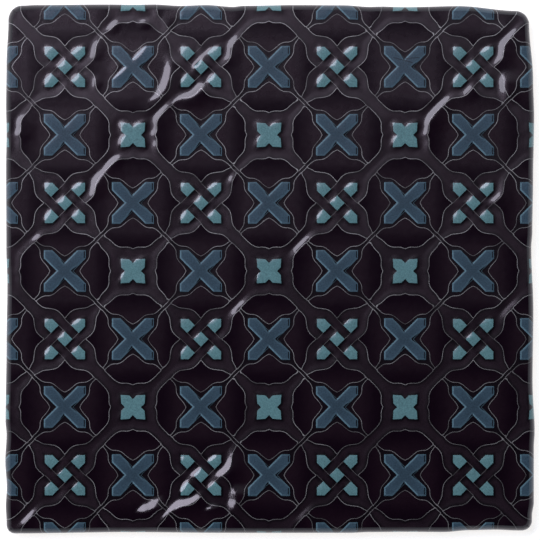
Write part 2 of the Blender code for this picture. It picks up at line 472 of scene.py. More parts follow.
def ripple_height(x, y):
    """Sum of steps that fall towards the lamp, each along a short path.

    A ripple falls evenly across its width and sinks back into the face behind it. From its
    middle to its ends it gets narrower and lower. Each point goes by the nearest leg.
    """
    total = np.zeros(x.shape)
    for rise, width, *path in RIPPLES:
        places = np.array([from_photo(*place) for place in path])
        nearest, across, along = (np.full(x.shape, start) for start in (np.inf, 0.0, 0.0))
        length = 0.0
        for (ax, ay), (bx, by) in zip(places[:-1], places[1:]):
            leg_x, leg_y = bx - ax, by - ay
            leg = np.hypot(leg_x, leg_y)
            share = ((x - ax) * leg_x + (y - ay) * leg_y) / leg**2
            held = np.clip(share, 0, 1)
            gap = np.hypot(x - ax - held * leg_x, y - ay - held * leg_y)
            closer = gap < nearest
            side = np.sign((y - ay) * leg_x - (x - ax) * leg_y)
            nearest = np.where(closer, gap, nearest)
            across = np.where(closer, side * gap, across)
            along = np.where(closer, length + held * leg, along)
            length += leg
        end = RIPPLE_END * length
        ends = smooth_step(0, end, along) * (1 - smooth_step(length - end, length, along))
        half = width * PIXEL / 2 * np.maximum(ends, NARROWEST)
        slope = np.clip(0.5 - across / (2 * half), 0, 1)
        tail = np.exp(-((np.maximum(-across - half, 0) / RIPPLE_TAIL) ** 2))
        total = total + rise * slope * tail * ends
    return total


# %% [markdown]
# The face's mesh is a grid whose lines fall on the pattern's own lattice, 36 to a pitch, so
# that every edge at 45 degrees runs along the diagonals of its cells. Close to the rim its
# lines crowd instead, because the roll curves most there. The petals' curved lines fall between
# the grid's points, so the nearest points are moved onto them. Each cell is then cut along
# the diagonal on which the pattern changes least. That keeps the top edge of every wall a
# clean line, and so the edge of every reflection.

# %% The face's grid
CELLS_PER_PITCH = 36
LATTICE_REACH = 135
RIM_DEPTHS = (0.0, 0.05, 0.18, 0.43, 0.82, 1.32, 1.92)
RELIEF_FADE = (0.8, 3.4)
ROLL_SIZE, ROLL_START = 3.4, np.radians(26)
SNAP_DEPTH, SNAP_STEP, LEAST_SLOPE = 0.5, 0.01, 0.25


def grid_lines(offset):
    """Places of the grid lines on one axis: the rim's, the lattice's, and the rim's again."""
    lattice = offset + np.arange(-LATTICE_REACH, LATTICE_REACH + 1) * PITCH / CELLS_PER_PITCH
    rim = HALF - np.array(RIM_DEPTHS)
    return np.concatenate([-rim, lattice, rim[::-1]])


def rim_drop(depth):
    """How far the rim has fallen at a depth from the edge.

    It is part of a circle that starts with a slight crease, already sloping, and ends
    upright at the edge.
    """
    level = np.sqrt(ROLL_SIZE**2 - np.clip(ROLL_SIZE - depth, 0, ROLL_SIZE) ** 2)
    return np.maximum(ROLL_SIZE * np.cos(ROLL_START) - level, 0)


def snap_to_lines(x, y, count):
    """Moves points of the grid that are next to a petal's line onto it.

    Where the distance changes sign between two neighbours, the nearer one goes down the
    distance's gradient by its own distance, unless that is more than half a cell.
    """
    value = np.minimum(*petal_distances(x, y))
    grid = value.reshape(count, count)
    near = np.zeros(grid.shape, bool)
    for first, second in (
        ((slice(None), slice(None, -1)), (slice(None), slice(1, None))),
        ((slice(None, -1), slice(None)), (slice(1, None), slice(None))),
    ):
        crosses = grid[first] * grid[second] < 0
        closer = np.abs(grid[first]) <= np.abs(grid[second])
        near[first] |= crosses & closer
        near[second] |= crosses & ~closer
    near = near.ravel() & (np.abs(value) < PITCH / CELLS_PER_PITCH / 2)
    slope_x = (np.minimum(*petal_distances(x + SNAP_STEP, y)) - value) / SNAP_STEP
    slope_y = (np.minimum(*petal_distances(x, y + SNAP_STEP)) - value) / SNAP_STEP
    share = np.where(near, value / np.maximum(slope_x**2 + slope_y**2, LEAST_SLOPE), 0)
    return x - share * slope_x, y - share * slope_y


lines_x, lines_y = grid_lines(PATTERN_X), grid_lines(PATTERN_Y)
COUNT = len(lines_x)
square_x, square_y = (axis.ravel() for axis in np.meshgrid(lines_x, lines_y))
face_x, face_y, rim_depth = outline_point(square_x, square_y)
face_x, face_y = wander_point(face_x, face_y)
pattern_x, pattern_y = snap_to_lines(face_x - PATTERN_X, face_y - PATTERN_Y, COUNT)
inner = rim_depth > SNAP_DEPTH
face_x = np.where(inner, pattern_x + PATTERN_X, face_x)
face_y = np.where(inner, pattern_y + PATTERN_Y, face_y)
pattern_x, pattern_y = face_x - PATTERN_X, face_y - PATTERN_Y

petal_x, petal_y = petal_distances(pattern_x, pattern_y)
petal = np.minimum(petal_x, petal_y)
x_outline = large_x_distance(pattern_x, pattern_y)
teal = teal_distance(pattern_x, pattern_y)
cross_dome = cross_distance(pattern_x, pattern_y, rounded)
bud_dome = bud_distance(pattern_x, pattern_y, rounded)
under = under_field(pattern_x, pattern_y)
reach = np.maximum(*from_x(fold(pattern_x), fold(pattern_y)))

relief = relief_height(face_x, face_y, petal, x_outline, cross_dome, bud_dome, under, reach)
face_z = broad_height(face_x, face_y) + relief * smooth_step(*RELIEF_FADE, rim_depth) - rim_drop(rim_depth)
print("face grid:", COUNT, "lines a side, height", face_z.min().round(2), "to", face_z.max().round(2), "mm")

# %% [markdown]
# The sides and the back are plain clay on the real tile. Rings of points carry the rim down
# to a small bevel at the foot. The back is a coarser grid, a quarter as fine, with shallow
# grooves that the bedding mortar keys into. Its lines crowd round the grooves' walls, and
# near the foot they change over to every fourth point of the rim. A row of fans joins the two.

# %% The sides and the back
SIDE_LEVELS = (4.6, 3.6, 2.6, 1.6, 0.9)
SIDE_DRAFT = 0.10
# The bevel's points: how far in from the side, and how high
FOOT_ROUND = ((0.12, 0.35), (0.35, 0.12), (FOOT_BEVEL, 0.0))
GROOVE_COUNT, GROOVE_PITCH, GROOVE_WIDTH, GROOVE_LENGTH, GROOVE_DEPTH = 6, 28.0, 12.0, 164.0, 0.9
GROOVE_WALL = 0.9
CROWDING, CROWD_WIDTH = 5, 1.2
BACK_INSET = 1.6
NEAR_FOOT = (84, 97)


def perimeter(count):
    """Indices of a square grid's outer points, in order round it, counter-clockwise from above."""
    last = count - 1
    run = np.arange(last)
    return np.concatenate([
        run,
        last + run * count,
        last * count + last - run,
        (last - run) * count,
    ])


def crowded_lines(marks, count):
    """Places from one end to the other, crowded round the marks.

    The density along the axis is 1 plus a bell at each mark, and equal shares of its sum
    give the places.
    """
    place = np.linspace(-HALF + BACK_INSET, HALF - BACK_INSET, 2001)
    density = 1 + CROWDING * sum(np.exp(-((place - mark) / CROWD_WIDTH) ** 2) for mark in marks)
    total = np.concatenate([[0], np.cumsum((density[1:] + density[:-1]) / 2)])
    return np.interp(np.linspace(0, total[-1], count), total, place)


def groove_distance(x, y):
    """Signed distance to the nearest groove: a bar with round ends."""
    row = np.clip(np.rint(y / GROOVE_PITCH - 0.5) + 0.5, -(GROOVE_COUNT - 1) / 2, (GROOVE_COUNT - 1) / 2)
    along = np.maximum(np.abs(x) - (GROOVE_LENGTH - GROOVE_WIDTH) / 2, 0)
    return np.hypot(along, y - row * GROOVE_PITCH) - GROOVE_WIDTH / 2


rim = perimeter(COUNT)
steps_in = [(SIDE_DRAFT * (1 - level / THICKNESS), level) for level in SIDE_LEVELS]
steps_in += [(SIDE_DRAFT + inset, level) for inset, level in FOOT_ROUND]
side_rings = [
    np.stack([face_x[rim] * (1 - gap / HALF), face_y[rim] * (1 - gap / HALF), np.full(len(rim), level)], 1)
    for gap, level in steps_in
]

BACK_COUNT = (COUNT - 1) // 4 + 1
groove_rows = (np.arange(GROOVE_COUNT) - (GROOVE_COUNT - 1) / 2) * GROOVE_PITCH
row_marks = np.concatenate([groove_rows - GROOVE_WIDTH / 2, groove_rows + GROOVE_WIDTH / 2])
column_marks = np.array([-1, 1]) * (GROOVE_LENGTH - GROOVE_WIDTH / 4) / 2
back_x, back_y = np.meshgrid(*(crowded_lines(marks, BACK_COUNT) for marks in (column_marks, row_marks)))
rim_x, rim_y = np.meshgrid(*(lines[::4] * (1 - BACK_INSET / HALF) for lines in (lines_x, lines_y)))
back_x = (back_x + smooth_step(*NEAR_FOOT, np.abs(rim_y)) * (rim_x - back_x)).ravel()
back_y = (back_y + smooth_step(*NEAR_FOOT, np.abs(rim_x)) * (rim_y - back_y)).ravel()
back_z = GROOVE_DEPTH * (1 - smooth_step(-GROOVE_WALL, 0.0, groove_distance(back_x, back_y)))
back_x, back_y, _ = outline_point(back_x, back_y)
back_x, back_y = wander_point(back_x, back_y)
print("sides:", len(side_rings), "rings of", len(rim), "points; back:", BACK_COUNT, "lines a side")

# %% [markdown]
# All points go into one closed mesh. The faces are index arithmetic on whole arrays: two
# triangles for each cell of a grid, two for each gap between rings, and five for each fan.

# %% One closed mesh
def grid_triangles(count, start, cut_falling, upward):
    """Two triangles for each cell of a grid, cut along one diagonal or the other."""
    corner = (np.arange(count - 1)[:, None] * count + np.arange(count - 1)).ravel() + start
    a, b, c, d = corner, corner + 1, corner + 1 + count, corner + count
    rising = np.stack([a, b, c, a, c, d], 1)
    falling = np.stack([a, b, d, b, c, d], 1)
    found = np.where(cut_falling[:, None], falling, rising).reshape(-1, 3)
    return found if upward else found[:, ::-1]


def ring_triangles(upper, lower):
    """Two triangles for each gap between two closed rings of equal length, faces outwards."""
    next_upper, next_lower = np.roll(upper, -1), np.roll(lower, -1)
    first, second = (lower, next_lower, next_upper), (lower, next_upper, upper)
    return np.concatenate([np.stack(first, 1), np.stack(second, 1)])


def fan_triangles(fine, coarse):
    """Joins a ring to one with a quarter of its points, five triangles for each coarse step."""
    step = np.arange(len(coarse))
    f = [fine[(4 * step + k) % len(fine)] for k in range(5)]
    near, far = coarse, np.roll(coarse, -1)
    fans = [(f[0], near, f[1]), (f[1], near, f[2]), (f[2], near, far), (f[2], far, f[3]), (f[3], far, f[4])]
    return np.concatenate([np.stack(fan, 1) for fan in fans])


def falls_best(field, count):
    """Whether each cell's falling diagonal joins the two corners that differ least."""
    value = field.reshape(count, count)
    rising = np.abs(value[1:, 1:] - value[:-1, :-1])
    falling = np.abs(value[1:, :-1] - value[:-1, 1:])
    return (falling < rising).ravel()


points = np.vstack([
    np.stack([face_x, face_y, face_z], 1),
    *side_rings,
    np.stack([back_x, back_y, back_z], 1),
])
face_total = COUNT * COUNT
rings = [rim] + [face_total + k * len(rim) + np.arange(len(rim)) for k in range(len(side_rings))]
back_start = face_total + len(side_rings) * len(rim)
back_ring = back_start + perimeter(BACK_COUNT)

diagonal_guide = np.clip(petal, -1, 1) + np.clip(x_outline, -1, 1) + np.clip(teal, -1, 1)
triangles = np.concatenate([
    grid_triangles(COUNT, 0, falls_best(diagonal_guide, COUNT), True),
    *[ring_triangles(upper, lower) for upper, lower in zip(rings[:-1], rings[1:])],
    fan_triangles(rings[-1], back_ring),
    grid_triangles(BACK_COUNT, back_start, falls_best(back_z, BACK_COUNT), False),
])
corners = points[triangles]
volume = np.einsum("ij,ij->i", corners[:, 0], np.cross(corners[:, 1], corners[:, 2])).sum() / 6
print("tile:", len(points), "points,", len(triangles), "triangles,", round(volume / 1000, 1), "cm3")


def make_mesh(name, points, triangles):
    """A mesh from arrays of points in millimetres and of triangles."""
    mesh = bpy.data.meshes.new(name)
    mesh.vertices.add(len(points))
    mesh.vertices.foreach_set("co", (points * MM).astype(np.float32).ravel())
    mesh.loops.add(triangles.size)
    mesh.loops.foreach_set("vertex_index", triangles.astype(np.int32).ravel())
    mesh.polygons.add(len(triangles))
    mesh.polygons.foreach_set("loop_start", np.arange(0, triangles.size, 3, dtype=np.int32))
    mesh.update(calc_edges=True)
    mesh.validate()
    mesh.shade_smooth()
    return mesh


def crease_edges(mesh, ring_number):
    """True for the edges that run along one square ring of the face's grid."""
    last = COUNT - 1 - ring_number
    ends = np.empty(2 * len(mesh.edges), np.int32)
    mesh.edges.foreach_get("vertices", ends)
    ends = ends.reshape(-1, 2)
    row, column = ends // COUNT, ends % COUNT
    inside = ((np.minimum(row, column) >= ring_number) & (np.maximum(row, column) <= last)).all(1)
    on_row = ((row == ring_number) | (row == last)).all(1) & (row[:, 0] == row[:, 1])
    on_column = ((column == ring_number) | (column == last)).all(1) & (column[:, 0] == column[:, 1])
    return inside & (ends < face_total).all(1) & (on_row | on_column)


tile_mesh = make_mesh("tile_dressed", points, triangles)
creased = crease_edges(tile_mesh, len(RIM_DEPTHS) - 1)
tile_mesh.edges.foreach_set("use_edge_sharp", creased)
print("rim crease:", creased.sum(), "edges")
tile = bpy.data.objects.new("glazed_tile", tile_mesh)
bpy.context.scene.collection.objects.link(tile)

# %% [markdown]
# The petals' distances go onto the mesh as attributes, clipped a little past where they are
# used. Petals that point along x and along y are kept apart: the channel between them is
# narrow, and their two lines have to stay two. The glaze's nodes read them.

# %% Distances as attributes
REACH = 2.0


def add_attribute(name, face_values, elsewhere):
    """A number for each point: the face's own, and one value for the sides and the back.

    The sides repeat what the rim above them has.
    """
    values = np.full(len(points), elsewhere, np.float32)
    values[:face_total] = face_values
    for ring in rings[1:]:
        values[ring] = face_values[rim]
    attribute = tile_mesh.attributes.new(name, "FLOAT", "POINT")
    attribute.data.foreach_set("value", values)


add_attribute("petal_x", np.clip(petal_x, -REACH, REACH), REACH)
add_attribute("petal_y", np.clip(petal_y, -REACH, REACH), REACH)

# %% [markdown]
# A texture map of its own lets the painted face be stored sharply when the tile is
# exported: the face takes most of the square, the back a small one, and the sides strips.

# %% Texture map
FACE_SHARE, BACK_SHARE, STRIP_SHARE, MARGIN = 0.86, 0.125, 0.84, 0.004
STRIP_WIDTH, STRIP_START, STRIP_PITCH = 0.05, 0.012, 0.058


def map_tile(points, triangles):
    """A map with the face in the lower left, the back in the upper right and the sides as
    strips beside them, each side's height running across its strip."""
    centre = points[triangles].mean(1)
    first_side = 2 * (COUNT - 1) ** 2
    first_back = len(triangles) - 2 * (BACK_COUNT - 1) ** 2 - 5 * len(back_ring)
    number = np.arange(len(triangles))
    where = points[triangles]
    share = (where[..., :2] + HALF + 1) / (SIDE + 2)
    uv = MARGIN + share * FACE_SHARE
    on_back = number >= first_back
    uv[on_back] = 1 - MARGIN - share[on_back] * BACK_SHARE
    on_side = (number >= first_side) & ~on_back
    on_x = np.abs(centre[:, 0]) - np.abs(centre[:, 1]) > 0
    height = where[..., 2] / THICKNESS * STRIP_WIDTH
    for number_of_strip, (chosen, along, flip) in enumerate((
        (on_x & (centre[:, 0] > 0), 1, False), (on_x & (centre[:, 0] <= 0), 1, False),
        (~on_x & (centre[:, 1] > 0), 0, True), (~on_x & (centre[:, 1] <= 0), 0, True),
    )):
        chosen = chosen & on_side
        first = FACE_SHARE + STRIP_START + (number_of_strip % 2) * STRIP_PITCH
        strip = np.stack([first + height[chosen], share[chosen][..., along] * STRIP_SHARE + MARGIN], -1)
        uv[chosen] = strip[..., ::-1] if flip else strip
    layer = tile_mesh.uv_layers.new(name="OFBake")
    layer.data.foreach_set("uv", uv.astype(np.float32).ravel())


map_tile(points, triangles)

# %% [markdown]
# Glaze. One shader serves the whole tile, because it was fired as one thing. Its formulas
# are written once for arrays, above. Here the numbers are wires between nodes: a wire that
# meets an array function adds the node that does the same, so the formulas build the
# shader.

# %% Wires and nodes
def srgb(red, green, blue):
    """A screen colour of 0 to 255, as the linear colour that shaders use."""
    share = np.array([red, green, blue]) / 255
    linear = np.where(share <= 0.04045, share / 12.92, ((share + 0.055) / 1.055) ** 2.4)
    return (*linear.tolist(), 1.0)


class Wire(np.lib.mixins.NDArrayOperatorsMixin):
    """A number that flows between nodes, and can stand in formulas for arrays."""

    OPERATIONS = {
        np.add: "ADD", np.subtract: "SUBTRACT", np.multiply: "MULTIPLY", np.divide: "DIVIDE",
        np.maximum: "MAXIMUM", np.minimum: "MINIMUM", np.absolute: "ABSOLUTE", np.rint: "ROUND",
        np.sign: "SIGN",
    }

    def __init__(self, nodes, socket):
        self.nodes, self.socket = nodes, socket

    def __array_ufunc__(self, function, method, *inputs, **settings):
        return self.nodes.math(self.OPERATIONS[function], *inputs)


class Nodes:
    """The few kinds of node that the materials use, each as one call."""

    def __init__(self, material):
        material.use_nodes = True
        self.material, self.tree = material, material.node_tree
        self.shader = self.tree.nodes["Principled BSDF"]
        coordinate = self.tree.nodes.new("ShaderNodeTexCoord")
        self.place = coordinate.outputs["Object"]

    def call(self, kind, inputs, output=0, **settings):
        """A new node, with its settings and its inputs by name or number, as a wire."""
        node = self.tree.nodes.new(kind)
        for name, value in settings.items():
            setattr(node, name, value)
        for name, value in inputs.items():
            self.plug(value, node.inputs[name])
        return Wire(self, node.outputs[output])

    def plug(self, value, socket):
        if isinstance(value, Wire):
            value = value.socket
        if isinstance(value, bpy.types.NodeSocket):
            self.tree.links.new(value, socket)
        else:
            socket.default_value = value

    def math(self, operation, *values):
        return self.call("ShaderNodeMath", dict(enumerate(values)), operation=operation)

    def step(self, value, low, high, out_low=0.0, out_high=1.0):
        """An S from out_low to out_high as the value goes from low to high."""
        inputs = dict(enumerate((value, low, high, out_low, out_high)))
        return self.call("ShaderNodeMapRange", inputs, interpolation_type="SMOOTHSTEP")

    def mix(self, share, first, second):
        """A colour between two others."""
        return self.call("ShaderNodeMix", {0: share, 6: first, 7: second}, 2, data_type="RGBA")

    def field(self, name):
        """A number that the mesh carries at each point."""
        return self.call("ShaderNodeAttribute", {}, "Fac", attribute_name=name)

    def noise(self, size_mm, detail=2.0, seed=0.0):
        """Cloudy noise whose clouds are about size_mm across, from 0 to 1."""
        shift = (seed, 2 * seed, 3 * seed)
        moved = self.call("ShaderNodeMapping", {"Vector": self.place, "Location": shift})
        inputs = {"Vector": moved, "Scale": 1 / (size_mm * MM), "Detail": detail}
        return self.call("ShaderNodeTexNoise", inputs)

    def millimetres(self):
        """The place on the tile as three wires, in millimetres."""
        return [self.call("ShaderNodeSeparateXYZ", {0: self.place}, axis) / MM for axis in "XYZ"]


# %% [markdown]
# Every glaze needs to know where it is on the pattern, so those wires are made once. Most are
# distances. The petals' come from the mesh, the others from the formulas above. Three noises
# give the clouds, the mottle and the grain of hand-laid glaze.

# %% Where a point is on the pattern
CHANNEL_HALF, STRAP_HALF = 0.62, 2.44
TRENCH_REACH, TRENCH_CORNER = 11.9, 22.3


def thread_on(nodes, distance, half=0.10, soft=0.06):
    """1 on a thin line where a distance is near zero."""
    return nodes.step(np.absolute(distance), half - soft, half + soft, 1.0, 0.0)


def inside(nodes, distance, soft=0.06):
    """1 inside a shape and 0 outside it, from its signed distance."""
    return nodes.step(distance, -soft, soft, 1.0, 0.0)


def on_pattern(nodes, x, y):
    """The wires that the glazes share: distances to the motifs, the weave and three noises."""
    at = SimpleNamespace(x=x - PATTERN_X, y=y - PATTERN_Y)
    at.petal_x, at.petal_y = nodes.field("petal_x"), nodes.field("petal_y")
    at.petal = np.minimum(at.petal_x, at.petal_y)
    at.outline, at.teal = large_x_distance(at.x, at.y), teal_distance(at.x, at.y)
    folded_x, folded_y = fold(at.x), fold(at.y)
    at.strap = np.absolute((folded_x - folded_y) * SLANT)
    at.channel = np.absolute((folded_x + folded_y - PITCH) * SLANT)
    at.channel_over = channel_is_over(at.x, at.y)
    at.upper, at.lower = knot_weave(at.x, at.y)
    out, side = from_x(folded_x, folded_y)
    at.reach = np.maximum(out, side)
    past_trench = np.maximum(at.reach - TRENCH_REACH, (out + side - TRENCH_CORNER) * SLANT)
    at.trench = inside(nodes, past_trench, 0.15)
    clouds = ((22, 2, 1.3), (6, 3, 7.7), (0.9, 3, 4.1))
    at.cloud, at.mottle, at.grain = (nodes.noise(*cloud) for cloud in clouds)
    return at


# %% [markdown]
# The straps are a warm black-brown. Painted shade darkens them towards every motif, at the foot of its
# wall, and where a band of a knot dives under another. The trench between an X and its petals, and the
# channels that lie on top, are the blackest.

# %% Straps, trenches and channels
STRAP_COLOUR, STRAP_DARK = srgb(29, 20, 26), srgb(21, 13, 19)
TRENCH_COLOUR, BLACK_GLAZE = srgb(10, 5, 10), srgb(4, 2, 5)
EDGE_SHADE, EDGE_SHADE_WIDTH = 0.85, (0.1, 1.5)
DIVE_LENGTH, DIVE_HALF = 2.4, 2.1
CHANNEL_LENGTH, CHANNEL_DARK = 4.5, 0.7


def paint_straps(nodes, at):
    """Clouded brown, with painted shade laid over it in black by distance."""
    clouds = nodes.step(at.cloud * 0.5 + at.mottle * 0.5, 0.35, 0.65)
    colour = nodes.mix(clouds, STRAP_DARK, STRAP_COLOUR)
    # Painted shade: black towards every motif, at the foot of its wall.
    nearest = np.minimum(np.minimum(at.petal, at.teal), at.outline)
    colour = nodes.mix(nodes.step(nearest, *EDGE_SHADE_WIDTH, EDGE_SHADE, 0.0), colour, BLACK_GLAZE)
    # Painted shadow: black where a knot's band dives under the one above it, darkest beside it.
    past = at.upper - BAND_HALF
    dives = nodes.step(past, 0.0, DIVE_LENGTH, EDGE_SHADE, 0.0)
    dives = dives * inside(nodes, 0 - past) * inside(nodes, at.lower - DIVE_HALF)
    colour = nodes.mix(dives, colour, BLACK_GLAZE)
    colour = nodes.mix(at.trench, colour, TRENCH_COLOUR)
    in_channel = inside(nodes, np.maximum(at.channel - CHANNEL_HALF, at.strap - CHANNEL_LENGTH))
    return nodes.mix(in_channel * at.channel_over * CHANNEL_DARK, colour, BLACK_GLAZE)


# %% [markdown]
# The petals are aubergine, redder near their X and almost black at their outer side.

# %% Petals
PETAL_NEAR, PETAL_FAR = srgb(22, 10, 18), srgb(12, 3, 11)
PETAL_EDGE_DARK, PETAL_EDGE = 0.45, 0.9


def paint_petals(nodes, at, colour):
    """From one colour to the other as the reach from the X grows, darker at the edge."""
    paint = nodes.mix(nodes.step(at.reach + at.mottle * 5, 8.5, 18.5), PETAL_NEAR, PETAL_FAR)
    paint = nodes.mix(nodes.step(at.petal, -PETAL_EDGE, 0.0, 0.0, PETAL_EDGE_DARK), paint, BLACK_GLAZE)
    return nodes.mix(inside(nodes, at.petal), colour, paint)


# %% [markdown]
# The large X is slate blue. The blue lies a little to the left of its outline. Its pale edge on the left is
# a painted highlight, and on the right the dark wedges in the notches and the dark line across the arms'
# ends are painted shade of its raised edge. How much an edge faces left or right is its lean: the change of
# the distance over a short step along x. One X has two hairline cracks.

# %% Large X's
BLUE_COLOUR, BLUE_DEEP = srgb(49, 66, 77), srgb(44, 59, 69)
BLUE_LINE_AND_HIGHLIGHT = srgb(81, 106, 116)
BLUE_OUT, BLUE_UP, LEAN_STEP = 0.12, 0.08, 0.3
NOTCH_DEPTH, NOTCH_REACH = 0.75, (2.6, 5.6)
END_SHADE_DEPTH, OUTLINE_OUT = 0.42, 0.30
HAIRLINES = (((393, 57), (412, 62)), ((404, 58), (419, 57)))


def hairline_on(nodes, x, y, start, end):
    """1 on a straight hairline crack between two places of the photograph."""
    (ax, ay), (bx, by) = from_photo(*start), from_photo(*end)
    length = float(np.hypot(bx - ax, by - ay))
    along_x, along_y = (bx - ax) / length, (by - ay) / length
    across = np.absolute((x - ax) * along_y - (y - ay) * along_x)
    past_end = np.absolute((x - ax) * along_x + (y - ay) * along_y - length / 2) - length / 2
    return nodes.step(across, 0.04, 0.18, 1.0, 0.0) * inside(nodes, past_end, 0.5)


def paint_large_x(nodes, at, colour, cracks):
    """Black inside the outline, the blue over it with a painted highlight on the left and painted shade on
    the right, and cracks over both.
    """
    blue = nodes.mix(nodes.step(at.reach + at.grain * 4, 2, 9), BLUE_DEEP, BLUE_COLOUR)
    raised = large_x_distance(at.x, at.y - BLUE_UP)
    lean = (large_x_distance(at.x + LEAN_STEP, at.y - BLUE_UP) - raised) / LEAN_STEP
    # Painted shade: on edges that face right the blue stops short in the notches, leaving black wedges.
    notch = np.maximum(lean, 0) * nodes.step(at.reach, *NOTCH_REACH, NOTCH_DEPTH, 0.0)
    laid = np.minimum(lean, 0) * BLUE_OUT + raised + notch
    # Painted highlight: a pale edge where the X's edge faces left.
    pale = nodes.step(lean, -0.7, 0.1, 1.0, 0.2) * nodes.step(laid, -0.66, -0.38)
    blue = nodes.mix(pale, blue, BLUE_LINE_AND_HIGHLIGHT)
    # Painted shade: a dark line across the ends of the arms that face right.
    end_shade = nodes.step(np.absolute(laid + END_SHADE_DEPTH), 0.10, 0.34, 1.0, 0.0) * nodes.step(lean, 0.8, 0.95)
    blue = nodes.mix(end_shade * 0.9, blue, BLACK_GLAZE)
    colour = nodes.mix(inside(nodes, at.outline - OUTLINE_OUT), colour, BLACK_GLAZE)
    colour = nodes.mix(inside(nodes, laid), colour, blue)
    return nodes.mix(cracks * 0.8, colour, BLACK_GLAZE)


# %% [markdown]
# The crosses and buds are teal. Each has a painted shadow to its lower right: its own outline again, moved
# by a fraction of a millimetre and laid underneath in black.

# %% Crosses and buds
TEAL_COLOUR, TEAL_DEEP = srgb(82, 116, 118), srgb(73, 103, 106)
SHADOW_SHIFT, SHADOW_SOFT = (0.60, -0.48), 0.15


def paint_teal(nodes, at, colour):
    """The moved outline in black as a painted shadow, then the mottled teal."""
    moved = teal_distance(at.x - SHADOW_SHIFT[0], at.y - SHADOW_SHIFT[1])
    shadow = inside(nodes, np.minimum(moved, at.teal - 0.25), SHADOW_SOFT)
    colour = nodes.mix(shadow * 0.9, colour, BLACK_GLAZE)
    deep = nodes.step(at.grain * 0.5 + at.mottle * 0.5, 0.35, 0.65, 0.5, 0.0)
    return nodes.mix(inside(nodes, at.teal), colour, nodes.mix(deep, TEAL_COLOUR, TEAL_DEEP))


# %% [markdown]
# A fine pale line follows every petal. Where a strap or a channel is on top, it carries its lines across
# the crossing, and in the knots faint ones follow the upper bands. The lines are worn in places, and
# fainter beside the X's. They are also painted fainter towards the lower right, a painted fall of light
# away from the lamp's side.

# %% Pale lines
THREAD_COLOUR = srgb(138, 135, 134)
THREAD_LIGHT_FALLOFF = (0.86, -0.10, 0.20)
BAND_THREAD_HALF, X_THREAD = 0.08, 0.45


def find_threads(nodes, at):
    """1 on every pale line but those round the X's."""
    over_strap = thread_on(nodes, at.strap - STRAP_HALF)
    over_strap = over_strap * inside(nodes, at.channel - CHANNEL_HALF) * (1 - at.channel_over)
    over_channel = thread_on(nodes, at.channel - CHANNEL_HALF)
    over_channel = over_channel * inside(nodes, at.strap - 1.7) * at.channel_over
    on_band = thread_on(nodes, at.upper - BAND_HALF, BAND_THREAD_HALF)
    on_band = on_band * inside(nodes, at.lower - BAND_HALF - 0.1) * 0.5
    thread = np.maximum(thread_on(nodes, at.petal_x), thread_on(nodes, at.petal_y))
    return np.maximum(thread, np.maximum(np.maximum(over_strap, over_channel), on_band))


def paint_threads(nodes, at, colour, thread, fade):
    """The pale lines, worn by a noise and dimmed by painted light towards the lower right, and a bluish one
    round each X.
    """
    worn = nodes.step(nodes.noise(9, 3, 9.2), 0.30, 0.65, 0.35, 1.0)
    fade = nodes.step(at.reach, 7, 12, 0.84, 1.0) * fade
    # Painted light: the lines are dimmed towards the lower right, and a little beside each X.
    colour = nodes.mix(thread * worn * fade, colour, THREAD_COLOUR)
    return nodes.mix(thread_on(nodes, at.outline) * worn * X_THREAD, colour, BLUE_LINE_AND_HIGHLIGHT)


# %% [markdown]
# Gloss. The real glaze has a soft haze under a hard, clear skin: its highlights have crisp
# edges, and yet the flat parts are veiled with grey near the lamp's side. One roughness can't
# give both. So the glaze is a hazier body under a sharp clear coat. The body's roughness
# sets how much veil each glaze shows, and it grows towards the top, where the photograph is
# greyest. The body mirrors a little less green, which gives the veil its lilac tint.

# %% Gloss
STRAP_ROUGHNESS, DRAWN_ROUGHNESS = 0.275, 0.225
PETAL_ROUGHNESS = (0.235, 0.155)
SMOOTHER_BY_TEAL = 0.030
BLOOM_X, BLOOM_Y, BLOOM_XY = 0.08, 0.32, 0.07
COAT, COAT_ROUGHNESS = 0.52, 0.045
UNDER_SHINE, UNDER_TINT = 0.31, (1.0, 0.87, 0.95, 1.0)


def body_roughness(nodes, at):
    """Roughness of the hazy body: by glaze, less beside teal, times the bloom of the place."""
    roughness = nodes.step(at.reach, 8, 18, *PETAL_ROUGHNESS)
    on_strap = inside(nodes, 0 - at.petal) * (1 - at.trench)
    roughness = on_strap * (STRAP_ROUGHNESS - roughness) + roughness
    roughness = roughness - nodes.step(at.teal, 0.5, 3.5, SMOOTHER_BY_TEAL, 0.0)
    drawn = inside(nodes, np.minimum(at.outline, at.teal))
    roughness = drawn * (DRAWN_ROUGHNESS - roughness) + roughness
    share_x, share_y = at.x / HALF, at.y / HALF
    return roughness * (share_x * BLOOM_X + share_y * BLOOM_Y + share_x * share_y * BLOOM_XY + 1)


# %% [markdown]
# The glaze lies over the face, rolls over the rim and stops in a ragged line on the sides.
# Below it, and on the back, the clay is bare and matt. Small unevenness of the glaze is bump:
# a soft waviness, a step at each line, a groove round the teal, and pores in the clay. A
# fine speckle lightens and darkens all the colours.

# %% The tile's material
SIDE_COLOUR = srgb(24, 18, 23)
CLAY_COLOUR, CLAY_PALE = srgb(186, 152, 122), srgb(212, 184, 154)
CLAY_ROUGHNESS = 0.85
SIDE_START, GLAZE_FOOT, GLAZE_RAGGED = (4.6, 5.6), (3.85, 4.15), 3.2
WAVE_BUMP, THREAD_BUMP, GROOVE_BUMP, PORE_BUMP = 0.02, 0.006, 0.008, 0.08


